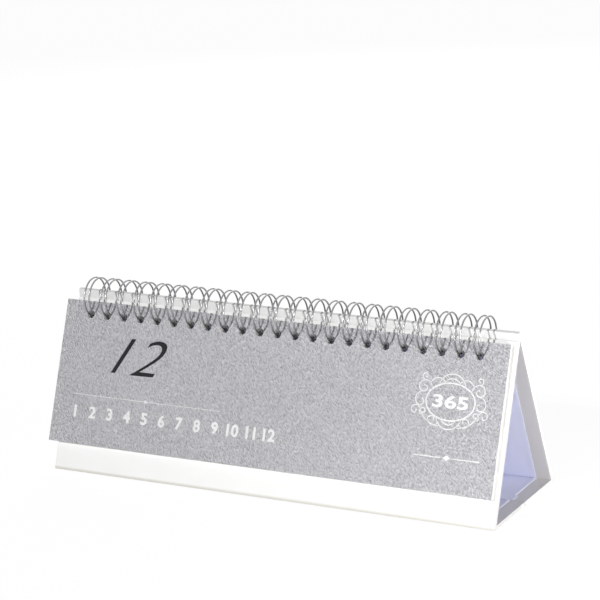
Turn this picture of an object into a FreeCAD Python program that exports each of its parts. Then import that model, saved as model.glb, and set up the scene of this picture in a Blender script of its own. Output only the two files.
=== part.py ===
"""Desk calendar: a tent stand of wrapped board with a flip pad bound by a twin-loop wire.

Frame: X runs along the width, -Y is the front, +Z is up. The origin is the middle
of the stand's footprint, on the surface that it stands on. Lengths are in
millimetres and angles in degrees.

The stand's two leaning panels meet in a ridge line. Each panel is drawn in its own
frame: the origin is on the ridge line, X along the width, Z up the slope, and Y
from the outer face inwards on the front panel, outwards on the rear one.
"""
import FreeCAD, Part
import math
import os
import Sketcher

Vector = FreeCAD.Vector

SIZES = [
    ("stand_width", 315.5, "length of the stand along X"),
    ("base_depth", 91.5, "depth of the footprint, front to rear"),
    ("lean_angle", 22.1, "lean of both panels from the vertical"),
    ("board_thickness", 1.8, "greyboard"),
    ("paper_thickness", 0.3, "white paper round the boards"),
    ("liner_thickness", 0.25, "lining paper inside the tent"),
    ("fold_gap", 0.4, "slit between two boards at a bottom fold"),
    ("seam_gap", 0.6, "slit in the middle of the base"),
    ("fold_radius", 0.35, "rounding of the paper at the bottom folds"),
    ("front_drop", 7.2, "from the ridge line down to the front board's top"),
    ("rear_drop", 1.05, "from the ridge line down to the rear panel's top"),
    ("ridge_radius", 0.7, "rounding of the paper over the rear board"),
    ("hinge_step", 1.3, "how far the hinge strip goes back over the front board's top"),
    ("turn_in", 12.0, "width of the paper turned in at each end"),
    ("liner_margin", 10.0, "from the stand's end to the liner's end"),
    ("flap_width", 8.0, "depth of the liner's glued flap on the base"),
    ("flap_slip", 2.4, "how far the flap was glued out of line"),
    ("pad_width", 318.0, "length of the pad along X"),
    ("pad_height", 94.0, "height of the pad down the slope"),
    ("pad_shift", -4.4, "pad's middle from the stand's middle, along X"),
    ("pad_drop", 2.25, "from the front board's top to the pad's top"),
    ("stack_thickness", 3.0, "all the calendar leaves together"),
    ("cover_thickness", 0.5, "card of the cover leaf"),
    ("hole_diameter", 5.3, "punched holes"),
    ("loop_count", 23, "twin loops"),
    ("loop_pitch", 12.7, "from loop to loop, a pitch of 2 to the inch"),
    ("loop_radius", 12.7, "middle of the wire to the loop's centre"),
    ("loop_width", 3.7, "between the two wires of a loop"),
    ("wire_diameter", 1.1, "wire"),
    ("bend_radius", 1.2, "bend from a loop into the spine"),
    ("loop_forward", 1.3, "loop centre in front of the ridge line"),
    ("loop_fall", 5.87, "loop centre below the ridge line"),
    ("spine_angle", -79.5, "where the loops leave the spine, from +Y"),
    ("tip_angle", 260.0, "where the loops' closed tips begin, from +Y"),
    ("loop_chords", 12, "straight stretches round one loop"),
    ("tip_chords", 3, "straight stretches round one closed tip"),
    ("wire_sides", 6, "sides of the wire's section"),
    ("stub_length", 2.0, "cut end of the wire past its last bend"),
]

SIN = "sin(Sizes.lean_angle)"
COS = "cos(Sizes.lean_angle)"
HALF_FOLD = "(45 - Sizes.lean_angle / 2)"
RIDGE_HEIGHT = "(Sizes.base_depth / 2 / tan(Sizes.lean_angle))"
SLOPE_LENGTH = "(Sizes.base_depth / 2 / sin(Sizes.lean_angle))"
PAPER = "Sizes.paper_thickness"
UNDER_TURN_IN = "(Sizes.paper_thickness + Sizes.board_thickness)"
WALL = "(2 * Sizes.paper_thickness + Sizes.board_thickness)"
HOLE_ROW_START = "(Sizes.pad_shift - (Sizes.loop_count - 1) / 2 * Sizes.loop_pitch)"
COVER_FACE = "(Sizes.stack_thickness + Sizes.cover_thickness)"
CENTRE_DEPTH_FRONT = f"(Sizes.loop_fall * {SIN} - Sizes.loop_forward * {COS})"
CENTRE_DEPTH_REAR = f"(Sizes.loop_fall * {SIN} + Sizes.loop_forward * {COS})"
CENTRE_DROP_FRONT = f"(Sizes.loop_fall * {COS} + Sizes.loop_forward * {SIN})"
CENTRE_DROP_REAR = f"(Sizes.loop_fall * {COS} - Sizes.loop_forward * {SIN})"


def chord(depth_from_centre):
    """Half the loop's chord at a distance from its centre, as an expression."""
    return f"sqrt(Sizes.loop_radius ^ 2 - ({depth_from_centre}) ^ 2)"


HOLE_DROP_FRONT = (
    f"({CENTRE_DROP_FRONT} + (Sizes.loop_radius"
    f" + {chord(f'{CENTRE_DEPTH_FRONT} + {COVER_FACE}')}) / 2)"
)
HOLE_DROP_REAR = (
    f"({CENTRE_DROP_REAR} + ({chord(CENTRE_DEPTH_REAR)}"
    f" + {chord(f'{CENTRE_DEPTH_REAR} - {WALL}')}) / 2)"
)


def make_sheet(doc):
    """Write the driving dimensions to a spreadsheet, one alias each."""
    sheet = doc.addObject("Spreadsheet::Sheet", "Sizes")
    for row, (alias, value, meaning) in enumerate(SIZES, start=1):
        sheet.set(f"A{row}", alias)
        sheet.set(f"B{row}", str(value))
        sheet.set(f"C{row}", meaning)
        sheet.setAlias(f"B{row}", alias)
    doc.recompute()
    return sheet


def origin_plane(body, role):
    """Find one of a body's own origin planes."""
    return next(f for f in body.Origin.OriginFeatures if f.Role == role)


def new_body(doc, label):
    """Add a body in the stand's frame."""
    body = doc.addObject("PartDesign::Body", label)
    body.Label = label
    return body


def lean(body, turn):
    """Put a body in a leaning panel's frame: turn is -1 for the front, 1 for the rear."""
    body.Placement = FreeCAD.Placement(Vector(0, 0, 1), FreeCAD.Rotation(Vector(turn, 0, 0), 1))
    body.setExpression("Placement.Base.z", RIDGE_HEIGHT)
    body.setExpression("Placement.Rotation.Angle", "Sizes.lean_angle")


def add_sketch(body, support, label):
    """Add an empty sketch that lies on a plane."""
    sketch = body.newObject("Sketcher::SketchObject", label)
    sketch.AttachmentSupport = [(support, "")]
    sketch.MapMode = "FlatFace"
    return sketch


def draw_polygon(sketch, corners):
    """Draw a closed outline; each corner is a pair of expressions, and starts on a circle."""
    count = len(corners)
    start = sketch.GeometryCount
    spread = [
        Vector(math.cos(2 * math.pi * i / count), math.sin(2 * math.pi * i / count), 0)
        for i in range(count)
    ]
    for i in range(count):
        sketch.addGeometry(Part.LineSegment(spread[i], spread[(i + 1) % count]), False)
    for i in range(count):
        following = start + (i + 1) % count
        sketch.addConstraint(Sketcher.Constraint("Coincident", start + i, 2, following, 1))
    for i, (across, up) in enumerate(corners):
        for kind, size in (("DistanceX", across), ("DistanceY", up)):
            index = sketch.addConstraint(Sketcher.Constraint(kind, start + i, 1, 1.0))
            sketch.setExpression(f"Constraints[{index}]", size)


def add_pad(body, sketch, length, label):
    """Extrude a sketch equally to both sides."""
    pad = body.newObject("PartDesign::Pad", label)
    pad.Profile = sketch
    pad.Midplane = True
    pad.setExpression("Length", length)
    return pad


def add_pocket(body, sketch, length, label):
    """Cut a sketch equally to both sides."""
    pocket = body.newObject("PartDesign::Pocket", label)
    pocket.Profile = sketch
    pocket.Type = 0
    pocket.Midplane = True
    pocket.setExpression("Length", length)
    return pocket


def punch_row(doc, body, support, drop, label):
    """Punch the row of holes through the panel frame's XZ plane, at a drop from the ridge."""
    sketch = add_sketch(body, support, f"{label}_sketch")
    sketch.addGeometry(Part.Circle(Vector(1, -1, 0), Vector(0, 0, 1), 1), False)
    sizes = (
        ("DistanceX", HOLE_ROW_START, (0, 3)),
        ("DistanceY", f"-1 * {drop}", (0, 3)),
        ("Diameter", "Sizes.hole_diameter", (0,)),
    )
    for kind, size, place in sizes:
        index = sketch.addConstraint(Sketcher.Constraint(kind, *place, 1.0))
        sketch.setExpression(f"Constraints[{index}]", size)
    reach = f"4 * ({WALL} + {COVER_FACE})"
    hole = add_pocket(body, sketch, reach, label)
    doc.recompute()
    row = body.newObject("PartDesign::LinearPattern", f"{label}_row")
    row.Originals = [hole]
    row.Direction = (sketch, ["H_Axis"])
    row.setExpression("Length", "(Sizes.loop_count - 1) * Sizes.loop_pitch")
    row.setExpression("Occurrences", "Sizes.loop_count")
    body.Tip = row
    return row


def lean_plane(body, turn, label):
    """Add a plane through the ridge line that leans with a panel of a body that doesn't lean."""
    plane = body.newObject("PartDesign::Plane", label)
    plane.AttachmentSupport = [(origin_plane(body, "XZ_Plane"), "")]
    plane.MapMode = "FlatFace"
    plane.AttachmentOffset = FreeCAD.Placement(
        Vector(0, 1, 0), FreeCAD.Rotation(Vector(turn, 0, 0), 1)
    )
    plane.setExpression("AttachmentOffset.Base.y", RIDGE_HEIGHT)
    plane.setExpression("AttachmentOffset.Rotation.Angle", "Sizes.lean_angle")
    return plane


def on_front(drop, depth):
    """Corner in the YZ plane, at a drop down the front slope and a depth under its face."""
    return (
        f"-1 * ({drop}) * {SIN} + ({depth}) * {COS}",
        f"{RIDGE_HEIGHT} - ({drop}) * {COS} - ({depth}) * {SIN}",
    )


def on_rear(drop, depth):
    """Corner in the YZ plane, at a drop down the rear slope and a depth under its face."""
    return (
        f"({drop}) * {SIN} - ({depth}) * {COS}",
        f"{RIDGE_HEIGHT} - ({drop}) * {COS} - ({depth}) * {SIN}",
    )


def half_base(depth):
    """Half the width of the base at a depth inside the stand's outline."""
    return f"(Sizes.base_depth / 2 - ({depth}) / tan({HALF_FOLD}))"


def tunnel(depth):
    """Triangle inside the stand, at a depth from its three faces."""
    return [
        (f"-1 * {half_base(depth)}", f"{depth}"),
        (half_base(depth), f"{depth}"),
        ("0", f"{RIDGE_HEIGHT} - ({depth}) / {SIN}"),
    ]


def make_leaning_board(doc, label, turn, top_drop, hole_drop):
    """Greyboard of a leaning panel, mitred at its foot and punched below its top."""
    def foot(depth):
        """Drop of the mitred foot, where the slit leaves the fold free."""
        slit = f"Sizes.fold_gap / 2 / sin({HALF_FOLD})"
        return f"-1 * ({SLOPE_LENGTH} - ({depth}) / tan({HALF_FOLD}) - {slit})"

    body = new_body(doc, label)
    lean(body, turn)
    inward = "-1" if turn > 0 else "1"
    section = add_sketch(body, origin_plane(body, "YZ_Plane"), f"{label}_section")
    draw_polygon(section, [
        (f"{inward} * {PAPER}", f"-1 * ({top_drop})"),
        (f"{inward} * {UNDER_TURN_IN}", f"-1 * ({top_drop})"),
        (f"{inward} * {UNDER_TURN_IN}", foot(UNDER_TURN_IN)),
        (f"{inward} * {PAPER}", foot(PAPER)),
    ])
    add_pad(body, section, f"Sizes.stand_width - 2 * {PAPER}", f"{label}_blank")
    doc.recompute()
    punch_row(doc, body, origin_plane(body, "XZ_Plane"), hole_drop, f"{label}_hole")
    return body


def make_base_board(doc, label, side):
    """Greyboard of half the base: side is -1 for the front half and 1 for the rear."""
    def outer(depth):
        """Distance of the mitred edge from the middle."""
        return f"{side} * ({half_base(depth)} - Sizes.fold_gap / 2 / sin({HALF_FOLD}))"

    body = new_body(doc, label)
    seam = f"{side} * (Sizes.seam_gap / 2 + {PAPER})"
    section = add_sketch(body, origin_plane(body, "YZ_Plane"), f"{label}_section")
    draw_polygon(section, [
        (outer(PAPER), PAPER),
        (seam, PAPER),
        (seam, UNDER_TURN_IN),
        (outer(UNDER_TURN_IN), UNDER_TURN_IN),
    ])
    add_pad(body, section, f"Sizes.stand_width - 2 * {PAPER}", f"{label}_blank")
    return body


def edges_near(shape, points):
    """Names of the edges along X whose middle is nearest to each point of the YZ plane."""
    names = []
    for point in points:
        found = min(
            (
                ((edge.CenterOfMass.y - point.y) ** 2 + (edge.CenterOfMass.z - point.z) ** 2, i)
                for i, edge in enumerate(shape.Edges, start=1)
                if len(edge.Vertexes) == 2
                and abs(edge.Vertexes[0].Point.x - edge.Vertexes[1].Point.x) > edge.Length - 1e-6
            ),
        )
        names.append(f"Edge{found[1]}")
    return names


def stand_corners(sheet):
    """Outer corners of the stand in the YZ plane: two bottom folds, ridge top, ridge front."""
    lean_radians = math.radians(sheet.lean_angle)
    ridge = sheet.base_depth / 2 / math.tan(lean_radians)
    wall = 2 * sheet.paper_thickness + sheet.board_thickness
    down = Vector(0, math.sin(lean_radians), -math.cos(lean_radians)) * sheet.rear_drop
    inward = Vector(0, -math.cos(lean_radians), -math.sin(lean_radians)) * wall
    top = Vector(0, 0, ridge) + down
    half = sheet.base_depth / 2
    return Vector(0, -half, 0), Vector(0, half, 0), top, top + inward


def add_fillet(body, base, points, radius, label):
    """Round the edges along X that pass through points of the YZ plane."""
    fillet = body.newObject("PartDesign::Fillet", label)
    fillet.Base = (base, edges_near(base.Shape, points))
    fillet.setExpression("Radius", radius)
    body.Tip = fillet
    return fillet


def make_wrap(doc, sheet):
    """White paper: one sheet round all four boards, turned in at both ends and at the seam."""
    body = new_body(doc, "cover_wrap")
    section_plane = origin_plane(body, "YZ_Plane")

    outline = add_sketch(body, section_plane, "wrap_outline")
    draw_polygon(outline, [
        ("-1 * Sizes.base_depth / 2", "0"),
        ("Sizes.base_depth / 2", "0"),
        on_rear("Sizes.rear_drop", "0"),
        on_rear("Sizes.rear_drop", WALL),
        on_front("Sizes.front_drop", "Sizes.hinge_step"),
        on_front("Sizes.front_drop", "0"),
    ])
    tent = add_pad(body, outline, "Sizes.stand_width", "wrap_tent")
    doc.recompute()
    front_fold, rear_fold, ridge_top, ridge_front = stand_corners(sheet)
    folds = add_fillet(body, tent, [front_fold, rear_fold, ridge_top], "Sizes.fold_radius", "wrap_folds")
    doc.recompute()
    add_fillet(body, folds, [ridge_front], "Sizes.ridge_radius", "wrap_ridge")
    doc.recompute()

    through = add_sketch(body, section_plane, "wrap_tunnel_outline")
    draw_polygon(through, tunnel(WALL))
    add_pocket(body, through, "2 * Sizes.stand_width", "wrap_tunnel")

    middle = add_sketch(body, section_plane, "wrap_middle_outline")
    draw_polygon(middle, tunnel(UNDER_TURN_IN))
    add_pocket(body, middle, "Sizes.stand_width - 2 * Sizes.turn_in", "wrap_middle")

    seam_edge = f"(Sizes.seam_gap / 2 + {PAPER})"
    boards = add_sketch(body, section_plane, "wrap_boards_outline")
    draw_polygon(boards, [
        (seam_edge, PAPER),
        (half_base(PAPER), PAPER),
        on_rear(f"Sizes.rear_drop + {PAPER}", PAPER),
        on_rear(f"Sizes.rear_drop + {PAPER}", UNDER_TURN_IN),
        on_front(f"Sizes.front_drop + {PAPER}", f"Sizes.hinge_step + 1.8 * {PAPER}"),
        on_front(f"Sizes.front_drop + {PAPER}", PAPER),
        (f"-1 * {half_base(PAPER)}", PAPER),
        (f"-1 * {seam_edge}", PAPER),
        (f"-1 * {seam_edge}", UNDER_TURN_IN),
        (f"-1 * {half_base(UNDER_TURN_IN)}", UNDER_TURN_IN),
        ("0", f"{RIDGE_HEIGHT} - {UNDER_TURN_IN} / {SIN}"),
        (half_base(UNDER_TURN_IN), UNDER_TURN_IN),
        (seam_edge, UNDER_TURN_IN),
    ])
    add_pocket(body, boards, f"Sizes.stand_width - 2 * {PAPER}", "wrap_boards")

    slit = add_sketch(body, section_plane, "wrap_seam_outline")
    draw_polygon(slit, [
        ("-1 * Sizes.seam_gap / 2", f"-1 * {WALL}"),
        ("Sizes.seam_gap / 2", f"-1 * {WALL}"),
        ("Sizes.seam_gap / 2", f"2 * {WALL}"),
        ("-1 * Sizes.seam_gap / 2", f"2 * {WALL}"),
    ])
    add_pocket(body, slit, "2 * Sizes.stand_width", "wrap_seam")
    doc.recompute()
    front = lean_plane(body, -1, "wrap_front_plane")
    rear = lean_plane(body, 1, "wrap_rear_plane")
    doc.recompute()
    punch_row(doc, body, front, HOLE_DROP_FRONT, "wrap_front_hole")
    doc.recompute()
    punch_row(doc, body, rear, HOLE_DROP_REAR, "wrap_rear_hole")
    return body


def make_liner(doc):
    """Lining paper: one sheet round the inside, over the turn-ins, joined by a flap on the base."""
    body = new_body(doc, "liner")
    section_plane = origin_plane(body, "YZ_Plane")
    liner = "Sizes.liner_thickness"
    solids = (
        ("liner_middle", UNDER_TURN_IN, "Sizes.stand_width - 2 * Sizes.turn_in", add_pad),
        ("liner_ends", WALL, "Sizes.stand_width - 2 * Sizes.liner_margin", add_pad),
        ("liner_inside", f"({UNDER_TURN_IN} + {liner})",
         f"Sizes.stand_width - 2 * Sizes.turn_in - 2 * {liner}", add_pocket),
        ("liner_tunnel", f"({WALL} + {liner})", "2 * Sizes.stand_width", add_pocket),
    )
    for label, depth, length, operation in solids:
        sketch = add_sketch(body, section_plane, f"{label}_outline")
        draw_polygon(sketch, tunnel(depth))
        operation(body, sketch, length, label)
        doc.recompute()

    ground = add_sketch(body, origin_plane(body, "XY_Plane"), "liner_flap_outline")
    end = "(Sizes.stand_width / 2 - Sizes.liner_margin)"
    draw_polygon(ground, [
        (f"-1 * {end} + Sizes.flap_slip", "0"),
        (f"{end} + Sizes.flap_slip", "0"),
        (f"{end} + Sizes.flap_slip", "Sizes.flap_width"),
        (f"-1 * {end} + Sizes.flap_slip", "Sizes.flap_width"),
    ])
    ground.AttachmentOffset = FreeCAD.Placement(Vector(0, 0, 1), FreeCAD.Rotation())
    ground.setExpression("AttachmentOffset.Base.z", f"{WALL} + {liner}")
    flap = body.newObject("PartDesign::Pad", "liner_flap")
    flap.Profile = ground
    flap.setExpression("Length", liner)
    doc.recompute()
    front = lean_plane(body, -1, "liner_front_plane")
    rear = lean_plane(body, 1, "liner_rear_plane")
    doc.recompute()
    punch_row(doc, body, front, HOLE_DROP_FRONT, "liner_front_hole")
    doc.recompute()
    punch_row(doc, body, rear, HOLE_DROP_REAR, "liner_rear_hole")
    return body


def make_leaf(doc, label, near, far):
    """Punched leaf or stack of leaves on the front panel, between two heights off its face."""
    body = new_body(doc, label)
    lean(body, -1)
    top = "-1 * (Sizes.front_drop + Sizes.pad_drop)"
    foot = "-1 * (Sizes.front_drop + Sizes.pad_drop + Sizes.pad_height)"
    left = "Sizes.pad_shift - Sizes.pad_width / 2"
    right = "Sizes.pad_shift + Sizes.pad_width / 2"
    face = add_sketch(body, origin_plane(body, "XZ_Plane"), f"{label}_outline")
    draw_polygon(face, [(left, foot), (right, foot), (right, top), (left, top)])
    face.AttachmentOffset = FreeCAD.Placement(Vector(0, 0, 1), FreeCAD.Rotation())
    face.setExpression("AttachmentOffset.Base.z", near)
    pad = body.newObject("PartDesign::Pad", f"{label}_sheet")
    pad.Profile = face
    pad.setExpression("Length", f"({far}) - ({near})")
    doc.recompute()
    punch_row(doc, body, origin_plane(body, "XZ_Plane"), HOLE_DROP_FRONT, f"{label}_hole")
    return body


def loop_point(sheet, x, angle):
    """Point of a loop at an angle from +Y, about the loops' common centre line."""
    ridge = sheet.base_depth / 2 / math.tan(math.radians(sheet.lean_angle))
    turned = math.radians(angle)
    return Vector(
        x,
        sheet.loop_radius * math.cos(turned) - sheet.loop_forward,
        sheet.loop_radius * math.sin(turned) + ridge - sheet.loop_fall,
    )


def along_loop(angle):
    """Direction of travel round a loop at an angle from +Y."""
    turned = math.radians(angle)
    return Vector(0, -math.sin(turned), math.cos(turned))


def spine_bend(sheet, x, side):
    """Points of the quarter bend from a wire of a loop, out to one side, into the spine."""
    radius = sheet.bend_radius
    start = loop_point(sheet, x, sheet.spine_angle)
    back = along_loop(sheet.spine_angle) * -radius
    middle = start + Vector(side * radius, 0, 0)
    turns = (math.radians(30), math.radians(90))
    return [
        middle + Vector(-side * radius * math.cos(turn), 0, 0) + back * math.sin(turn)
        for turn in turns
    ]


def loop_route(sheet, x):
    """Points of one twin loop: spine, round one wire, closed tip, back down the other, spine."""
    half = sheet.loop_width / 2
    chords = int(sheet.loop_chords)
    tips = int(sheet.tip_chords)
    sweep = sheet.tip_angle - sheet.spine_angle
    angles = [sheet.spine_angle + sweep * i / chords for i in range(chords + 1)]
    left = [loop_point(sheet, x - half, angle) for angle in angles]
    right = [loop_point(sheet, x + half, angle) for angle in reversed(angles)]
    tip_middle = loop_point(sheet, x, sheet.tip_angle)
    onward = along_loop(sheet.tip_angle) * half
    tip = []
    for i in range(1, tips):
        turn = math.pi * i / tips
        tip.append(tip_middle + Vector(-half * math.cos(turn), 0, 0) + onward * math.sin(turn))
    bend_in = list(reversed(spine_bend(sheet, x - half, -1)))
    bend_out = spine_bend(sheet, x + half, 1)
    return bend_in + left + tip + right + bend_out


def wire_route(sheet):
    """Points of the whole wire, from one cut end to the other."""
    count = int(sheet.loop_count)
    points = []
    for i in range(count):
        x = sheet.pad_shift + (i - (count - 1) / 2) * sheet.loop_pitch
        points += loop_route(sheet, x)
    stub = Vector(sheet.stub_length, 0, 0)
    return [points[0] - stub] + points + [points[-1] + stub]


def faceted_tube(points, radius, sides):
    """Solid tube with a regular section and a mitre at every point of its route."""
    ways = [(b - a).normalize() for a, b in zip(points, points[1:])]
    across = Vector(0, 0, 1)
    across = (across - ways[0] * across.dot(ways[0])).normalize()
    beside = ways[0].cross(across)
    rings = [[]]
    for i in range(sides):
        turn = 2 * math.pi * i / sides
        rings[0].append(points[0] + (across * math.cos(turn) + beside * math.sin(turn)) * radius)
    for i, way in enumerate(ways):
        mitre = (way + ways[i + 1]).normalize() if i + 1 < len(ways) else way
        reach = way.dot(mitre)
        rings.append([p + way * ((points[i + 1] - p).dot(mitre) / reach) for p in rings[-1]])
    faces = []
    for near, far in zip(rings, rings[1:]):
        for i in range(sides):
            j = (i + 1) % sides
            faces.append(Part.Face(Part.makePolygon([near[i], near[j], far[j], far[i], near[i]])))
    for ring in (rings[0], rings[-1]):
        faces.append(Part.Face(Part.makePolygon(ring + [ring[0]])))
    shell = Part.makeShell(faces)
    shell.sewShape()
    return Part.makeSolid(shell)


def make_wire(doc, sheet):
    """Twin-loop wire: one wire that forms every loop in turn and the spine between them."""
    wire = doc.addObject("Part::Feature", "binding_wire")
    wire.Label = "binding_wire"
    solid = faceted_tube(wire_route(sheet), sheet.wire_diameter / 2, int(sheet.wire_sides))
    if solid.Volume < 0:
        solid.reverse()
    wire.Shape = solid
    return wire


def build():
    """Build the document and return its sub-parts."""
    doc = FreeCAD.newDocument("desk_calendar")
    sheet = make_sheet(doc)
    front_top = f"Sizes.front_drop + {PAPER}"
    rear_top = f"Sizes.rear_drop + {PAPER}"
    parts = [
        make_leaning_board(doc, "front_board", -1, front_top, HOLE_DROP_FRONT),
        make_leaning_board(doc, "rear_board", 1, rear_top, HOLE_DROP_REAR),
        make_base_board(doc, "base_front_board", -1),
        make_base_board(doc, "base_rear_board", 1),
        make_wrap(doc, sheet),
        make_liner(doc),
        make_leaf(doc, "page_block", "0", "Sizes.stack_thickness"),
        make_leaf(doc, "cover_leaf", "Sizes.stack_thickness", COVER_FACE),
        make_wire(doc, sheet),
    ]
    doc.recompute()
    return doc, parts


def check(doc, parts):
    """Stop if an object failed or a sub-part has no valid solid."""
    for item in doc.Objects:
        if "Invalid" in item.State or "Error" in item.State:
            raise RuntimeError(f"{item.Label} failed: {item.State}")
    for part in parts:
        if part.Shape.isNull() or not part.Shape.isValid():
            raise RuntimeError(f"{part.Label} has no valid shape")
        solids = len(part.Shape.Solids)
        print(f"{part.Label}: {solids} solid, {part.Shape.Volume:.1f} mm3")


def main():
    """Build, check and write one file for each sub-part."""
    doc, parts = build()
    check(doc, parts)
    os.makedirs("parts", exist_ok=True)
    for part in parts:
        part.Shape.exportStep(f"parts/{part.Label}.step")


main()
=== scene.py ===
"""Looks of a long desk calendar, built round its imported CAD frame.

The frame gives the stand's boards, its white cover wrap, its lining and the cover leaf, and this script
dresses them. It replaces the page block by its separate leaves, and the faceted binding wire by a round
one. Lengths are millimetres until a mesh is made; Blender's own unit is the metre.
"""

from __future__ import annotations

import logging
import math
from dataclasses import dataclass, field
from enum import Enum

import bmesh
import bpy
import numpy as np
from mathutils import Matrix, Vector

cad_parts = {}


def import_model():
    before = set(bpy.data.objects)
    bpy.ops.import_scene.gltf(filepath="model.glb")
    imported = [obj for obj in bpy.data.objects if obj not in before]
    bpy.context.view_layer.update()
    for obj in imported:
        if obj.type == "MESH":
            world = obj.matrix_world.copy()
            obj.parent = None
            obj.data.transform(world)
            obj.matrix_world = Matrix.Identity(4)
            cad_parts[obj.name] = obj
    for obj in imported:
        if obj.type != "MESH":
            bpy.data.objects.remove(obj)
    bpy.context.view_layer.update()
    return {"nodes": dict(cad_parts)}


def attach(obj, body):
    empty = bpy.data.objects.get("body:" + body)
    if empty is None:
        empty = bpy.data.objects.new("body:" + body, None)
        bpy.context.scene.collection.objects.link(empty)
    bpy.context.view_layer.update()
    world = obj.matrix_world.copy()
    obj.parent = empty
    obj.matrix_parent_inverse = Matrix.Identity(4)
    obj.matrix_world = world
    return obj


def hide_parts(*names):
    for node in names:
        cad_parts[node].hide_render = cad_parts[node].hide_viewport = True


MM = 0.001
LOG = logging.getLogger("desk_calendar")

Colour = tuple[float, float, float]
Spot = tuple[float, float]
Place = tuple[float, float, float]


class Body(str, Enum):
    """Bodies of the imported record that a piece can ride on."""

    STAND = "stand"
    COVER = "cover"


class Slot(str, Enum):
    """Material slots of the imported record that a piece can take."""

    LEAVES = "calendar_paper"
    COVER = "grey_card"
    WIRE = "binding_wire"


# Shader graphs


class Signal:
    """A shader socket that takes part in arithmetic: each operator adds one Math node."""

    def __init__(self, graph: Graph, socket: bpy.types.NodeSocket) -> None:
        """Wrap a socket of a graph."""
        self.graph = graph
        self.socket = socket

    def _math(self, operation: str, first: object, second: object) -> Signal:
        """Add a Math node.

        Args:
            operation: Blender's name of the operation.
            first: first operand, a signal or a number.
            second: second operand, a signal or a number.

        Returns:
            The node's result.
        """
        node = self.graph.add("ShaderNodeMath", {"operation": operation}, {0: first, 1: second})
        return Signal(self.graph, node.outputs[0])

    def __add__(self, other: object) -> Signal:
        """Sum."""
        return self._math("ADD", self, other)

    def __radd__(self, other: object) -> Signal:
        """Sum with a number on the left."""
        return self._math("ADD", other, self)

    def __sub__(self, other: object) -> Signal:
        """Difference."""
        return self._math("SUBTRACT", self, other)

    def __rsub__(self, other: object) -> Signal:
        """Difference from a number on the left."""
        return self._math("SUBTRACT", other, self)

    def __mul__(self, other: object) -> Signal:
        """Product."""
        return self._math("MULTIPLY", self, other)

    def least(self, other: object) -> Signal:
        """The smaller of the two."""
        return self._math("MINIMUM", self, other)

    def above(self, limit: float) -> Signal:
        """1 where the signal is above a limit and 0 elsewhere."""
        return self._math("GREATER_THAN", self, limit)

    def __abs__(self) -> Signal:
        """Size without its sign."""
        return self._math("ABSOLUTE", self, 0.0)


class Graph:
    """The node tree of a material or world, with short ways to add to it."""

    def __init__(self, tree: bpy.types.NodeTree) -> None:
        """Empty the tree and keep it."""
        self.tree = tree
        tree.nodes.clear()

    def put(self, socket: bpy.types.NodeSocket, value: object) -> None:
        """Link a signal or a socket to an input, or give the input a plain value."""
        if isinstance(value, Signal):
            value = value.socket
        if isinstance(value, bpy.types.NodeSocket):
            self.tree.links.new(value, socket)
        else:
            socket.default_value = value

    def add(self, kind: str, settings: dict | None = None, inputs: dict | None = None) -> bpy.types.Node:
        """Add a node.

        Args:
            kind: Blender's name of the node type.
            settings: attributes, set before the inputs.
            inputs: values, signals or sockets by input name or number.

        Returns:
            The new node.
        """
        node = self.tree.nodes.new(kind)
        for name, value in (settings or {}).items():
            setattr(node, name, value)
        for name, value in (inputs or {}).items():
            self.put(node.inputs[name], value)
        return node

    def noise(self, vector: object, scale: float, detail: float, roughness: float,
              distortion: float = 0.0) -> Signal:
        """Add a noise texture.

        Args:
            vector: coordinates in metres.
            scale: cells in a metre.
            detail: number of finer layers.
            roughness: strength of the finer layers.
            distortion: how far the pattern is pulled about.

        Returns:
            A value from about 0 to 1.
        """
        values = {"Vector": vector, "Scale": scale, "Detail": detail, "Roughness": roughness}
        node = self.add("ShaderNodeTexNoise", None, {**values, "Distortion": distortion})
        return Signal(self, node.outputs[0])

    def mix(self, factor: object, low: object, high: object) -> bpy.types.NodeSocket:
        """Mix two colours.

        Args:
            factor: share of the second colour.
            low: first colour, three numbers or a socket.
            high: second colour, three numbers or a socket.

        Returns:
            The mixed colour's socket.
        """
        low, high = ((*c, 1.0) if isinstance(c, tuple) else c for c in (low, high))
        node = self.add("ShaderNodeMix", {"data_type": "RGBA"}, {0: factor, 6: low, 7: high})
        return node.outputs[2]

    def clamp(self, value: Signal) -> Signal:
        """Keep a value between 0 and 1."""
        return Signal(self, self.add("ShaderNodeClamp", None, {"Value": value}).outputs[0])

    def bump(self, height: Signal, depth: float) -> bpy.types.NodeSocket:
        """Turn a height from 0 to 1 into a normal.

        Args:
            height: the relief.
            depth: depth in metres of the whole relief.

        Returns:
            The normal's socket.
        """
        node = self.add("ShaderNodeBump", None, {"Strength": 1.0, "Distance": depth, "Height": height})
        return node.outputs[0]

    def leaning_coordinates(self, lean: float, streak: float, stretch: float) -> bpy.types.NodeSocket:
        """Object coordinates turned so that X and Z lie in a slope, then stretched along one direction.

        Args:
            lean: degrees that the slope leans back from upright.
            streak: degrees that the stretched direction is turned within the slope.
            stretch: how much longer the pattern is that way.

        Returns:
            The coordinates' socket, in metres.
        """
        upright = self.add(
            "ShaderNodeMapping",
            {"vector_type": "POINT"},
            {"Vector": self.object_coordinates(), "Rotation": (math.radians(lean), 0.0, 0.0)},
        )
        turn = (0.0, math.radians(streak), 0.0)
        turned = self.add(
            "ShaderNodeMapping",
            {"vector_type": "TEXTURE"},
            {"Vector": upright.outputs[0], "Rotation": turn, "Scale": (1.0, 1.0, stretch)},
        )
        return turned.outputs[0]

    def object_coordinates(self) -> bpy.types.NodeSocket:
        """Object coordinates, in metres."""
        return self.add("ShaderNodeTexCoord").outputs["Object"]

    def axes(self) -> list[Signal]:
        """Object coordinates along X, Y and Z, in metres."""
        split = self.add("ShaderNodeSeparateXYZ", None, {0: self.object_coordinates()})
        return [Signal(self, output) for output in split.outputs]


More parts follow.
